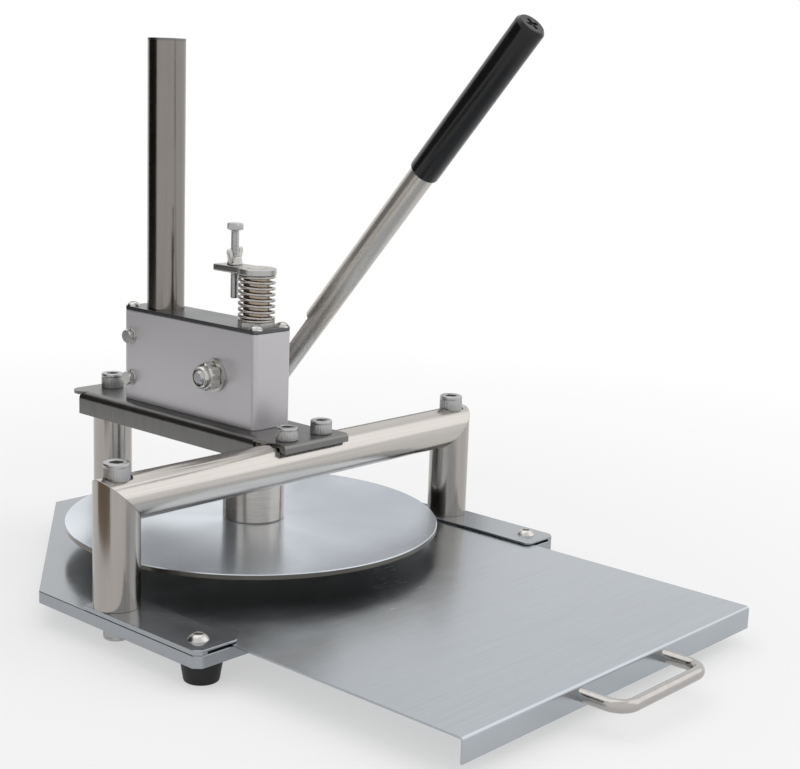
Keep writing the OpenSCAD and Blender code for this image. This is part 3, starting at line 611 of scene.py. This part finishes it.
low, high, middle = span("stop_bolt")
bolt_top = high.z - low.z
head_foot = bolt_top - STOP_HEAD_TALL
stop_rings = [(0, 0), (STOP_R - STOP_CHAMFER, 0)] + threaded(STOP_R, STOP_CHAMFER, head_foot)
stop_rings += [(STOP_R, head_foot), (STOP_HEAD - 0.3, head_foot), (STOP_HEAD, head_foot + 0.4, "hex"),
               (STOP_HEAD, bolt_top - 0.9, "hex"), (STOP_HEAD - 0.2, bolt_top), (0, bolt_top)]
fasten("stop_bolt", turned("stop_bolt", stop_rings, sides=48), [(middle.x, middle.y, low.z)], UP, screw_steel,
       "stop")
keep("wing_nut", eased("wing_nut", edge=0.7, segments=3), bright_steel, "wing")


# Lever and its pivot
# The pivot shaft crosses the housing and carries the pinion; a lock nut and washer hold its left end.
# Outside, the saddled hub carries the round bar, and a black sleeve covers its far end.
LEVER_LEAN = math.radians(41.1)
SHAFT_TAPER = 2.4
SHAFT_TIP = 0.66
NUT_BORE = 6.05
NUT_SIDE = 9.5

lever_steel = steel("polished_lever_bar", dull=(0.46, 0.44, 0.41), light=(0.63, 0.605, 0.57),
                    rough=0.28, grain=(1.6, 1.6, 160), lean=LEVER_LEAN, lines=0.10, clouds=0.06,
                    depth=0.003, metal=0.75)
grip_plastic = rubber("black_grip_sleeve", colour=(0.005, 0.005, 0.0055), rough=0.19, pit=0.004, bend=1.38)


def tapered_end(node, taper, tip):
    """A copy of a shaft whose left end narrows over its last taper mm to tip of its width."""
    mesh, form = merged(node)
    low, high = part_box(node)
    middle = (low + high) / 2
    bmesh.ops.bisect_plane(form, geom=form.verts[:] + form.edges[:] + form.faces[:],
                           plane_co=(low.x + taper * MM, 0, 0), plane_no=(1, 0, 0))
    for corner in form.verts:
        if corner.co.x < low.x + 0.1 * MM:
            corner.co.y = middle.y + (corner.co.y - middle.y) * tip
            corner.co.z = middle.z + (corner.co.z - middle.z) * tip
    return shaped(form, mesh, crease=25)


keep("pivot_shaft", tapered_end("pivot_shaft", SHAFT_TAPER, SHAFT_TIP), screw_steel, "lever")
dress(shaded_shaft_steel, "hub_pin")
dress(screw_steel, "drive_pinion", "pinion_key", "lever_hub", "lever_screw")
dress(bright_steel, "pivot_washer")
low, high, middle = span("pivot_nut")
lock_nut = turned("pivot_nut", [
    (NUT_BORE, 0), (9.2, 0), (NUT_SIDE, 0.6, "hex"), (NUT_SIDE, 8.2, "hex"), (9.3, 9.3), (8.7, 9.5),
    (8.6, 11.6), (8.2, 12.8), (7.5, 13.5), (6.8, 13.5), (6.6, 12.0), (NUT_BORE, 12.0), (NUT_BORE, 0)])
fasten("pivot_nut", lock_nut, [(high.x, middle.y, middle.z)], LEFT, bright_steel, "lever")
keep("lever_bar", eased("lever_bar", edge=0.4), lever_steel, "lever")
keep("lever_grip", eased("lever_grip", edge=0.6, segments=3), grip_plastic, "lever")


# Tray
# Bright folded sheet that slides under the rails, with a bent front edge.
# A handle of bent wire is welded to that edge.
tray_sheet = steel("bright_tray_sheet", dull=(0.38, 0.405, 0.43), light=(0.49, 0.52, 0.55),
                   rough=0.24, grain=(60, 1.2, 60), lines=0.06, depth=0.008)
handle_steel = steel("polished_handle_wire", dull=(0.36, 0.345, 0.33), light=(0.50, 0.485, 0.47),
                     rough=0.17, grain=(4, 4, 4), depth=0.006)
keep("tray_sheet", eased("tray_sheet", edge=0.3), tray_sheet, "tray")
dress(handle_steel, "tray_handle")


# Studio
# A pale floor that runs out to white, also in reflections, a soft key lamp from the front right and a
# fill from above. Three cards show in reflections only: dark and warm on the left for the bars' edges,
# grey at the rear for the level tops.
FLOOR_HALF = 6
SKY_LIGHT = 0.75
YAW, PITCH, ROLL = -48.208, 11.396, 2.034


def in_view(wire):
    """1 for rays from the camera, from reflections and through clear things, 0 for falling light."""
    camera, mirror, clear = (wire.node("ShaderNodeLightPath", out=title) for title in (
        "Is Camera Ray", "Is Glossy Ray", "Is Transmission Ray"))
    return camera + mirror + clear


def floor_finish():
    finish, wire = new_finish("pale_floor")
    spot = wire.node("ShaderNodeTexCoord", out="Object")
    reach = wire.node("ShaderNodeVectorMath", {0: spot}, out="Value", operation="LENGTH")
    far = wire.node("ShaderNodeMapRange", {
        "Value": reach, "From Min": 0.35, "From Max": 1.0, "To Min": 0.5, "To Max": 1.0})
    matt = wire.node("ShaderNodeBsdfDiffuse", {"Color": (0.86, 0.86, 0.86, 1)})
    white = wire.node("ShaderNodeEmission", {"Color": (1, 1, 1, 1), "Strength": 1.0})
    open_floor = wire.node("ShaderNodeMixShader", {0: far * in_view(wire), 1: matt, 2: white})
    wire.node("ShaderNodeOutputMaterial", {"Surface": open_floor})
    return finish


floor_mesh = bpy.data.meshes.new("floor")
floor_corners = [(x * FLOOR_HALF, y * FLOOR_HALF, 0) for x, y in ((-1, -1), (1, -1), (1, 1), (-1, 1))]
floor_mesh.from_pydata(floor_corners, [], [(0, 1, 2, 3)])
floor_mesh.materials.append(floor_finish())
placed("floor", floor_mesh)

world = bpy.data.worlds.new("studio")
bpy.context.scene.world = world
world.use_nodes = True
world.node_tree.nodes.clear()
sky = Wire(world.node_tree)
sky_level = in_view(sky) * (1 - SKY_LIGHT) + SKY_LIGHT
sky_light = sky.node("ShaderNodeBackground", {"Color": (1, 1, 1, 1), "Strength": sky_level})
sky.node("ShaderNodeOutputWorld", {"Surface": sky_light})


def lamp(name, place, aim, wide, tall, power):
    light = bpy.data.lights.new(name, "AREA")
    light.shape = "RECTANGLE"
    light.size = wide
    light.size_y = tall
    light.energy = power
    holder = placed(name, light)
    holder.location = place
    holder.rotation_euler = (Vector(aim) - Vector(place)).to_track_quat("-Z", "Y").to_euler()


lamp("key_lamp", (1.35, -1.15, 1.45), (0, 0, 0.12), wide=2.2, tall=2.0, power=7.5)
lamp("top_lamp", (0.1, 0.5, 1.9), (0, 0, 0.1), wide=2.0, tall=1.6, power=7)


def card(name, bearings, reach, foot, top, shade):
    """A matt card that stands across two bearings, reach m away, and shows in reflections only."""
    turns = [math.radians(bearing) for bearing in bearings]
    ends = [(reach * math.cos(turn), reach * math.sin(turn)) for turn in turns]
    corners = [(*ends[0], foot), (*ends[1], foot), (*ends[1], top), (*ends[0], top)]
    mesh = bpy.data.meshes.new(name)
    mesh.from_pydata(corners, [], [(0, 1, 2, 3)])
    finish, wire = new_finish(name)
    matt = wire.node("ShaderNodeBsdfDiffuse", {"Color": (*shade, 1)})
    wire.node("ShaderNodeOutputMaterial", {"Surface": matt})
    mesh.materials.append(finish)
    board = placed(name, mesh)
    board.visible_camera = False
    board.visible_shadow = False
    board.visible_diffuse = False


card("dark_card", (165, 99), reach=1.2, foot=0.0, top=1.1, shade=(0.03, 0.027, 0.025))
card("warm_card", (200, 158), reach=0.42, foot=0.0, top=0.12, shade=(0.30, 0.235, 0.17))
card("grey_card", (45.5, 34.5), reach=2.5, foot=0.15, top=0.85, shade=(0.42, 0.42, 0.44))

camera_data = bpy.data.cameras.new("photo_camera")
camera_data.sensor_width = 36.0
camera_data.lens = 67.905
camera = placed("photo_camera", camera_data)
camera.location = (-0.75171, -0.81689, 0.37362)
aimed = Matrix.Rotation(math.radians(YAW), 3, "Z") @ Matrix.Rotation(math.radians(90 - PITCH), 3, "X")
camera.rotation_euler = (aimed @ Matrix.Rotation(math.radians(ROLL), 3, "Z")).to_euler()
bpy.context.scene.camera = camera
bpy.context.scene.view_settings.view_transform = "Standard"
